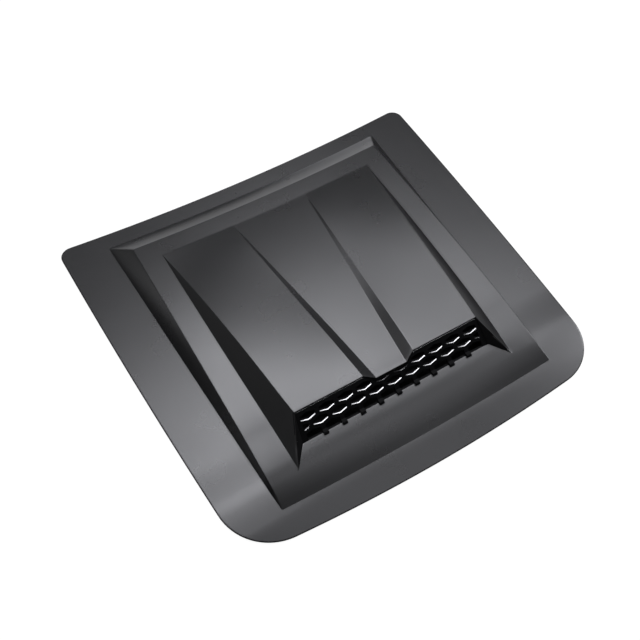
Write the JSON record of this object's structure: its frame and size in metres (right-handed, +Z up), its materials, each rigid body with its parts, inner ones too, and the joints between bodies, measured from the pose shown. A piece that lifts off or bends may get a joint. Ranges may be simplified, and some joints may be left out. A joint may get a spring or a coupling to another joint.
{
  "type": "bonnet scoop",
  "caption": "Wide low black bonnet scoop with a raised plinth, twin-lobed hood, raked mouth and a honeycomb grille insert, for a family car bonnet.",
  "frame": {"origin": "middle of the footprint, on the underside of the foam tape that lies on the bonnet", "axes": "+X across the width, -Y forward to the mouth, +Z up from the bonnet"},
  "size_m": [0.7828, 0.733, 0.0632],
  "materials": {
    "shell_plastic": "satin black",
    "grille_plastic": "matte black",
    "screw_steel": "black zinc",
    "foam_tape": "closed-cell foam"
  },
  "bodies": {
    "root": {"scoop_shell": "shell_plastic", "grille_insert": "grille_plastic", "grille_screws": "screw_steel", "tape_rear": "foam_tape", "tape_front": "foam_tape", "tape_left": "foam_tape", "tape_right": "foam_tape"}
  },
  "joints": []
}
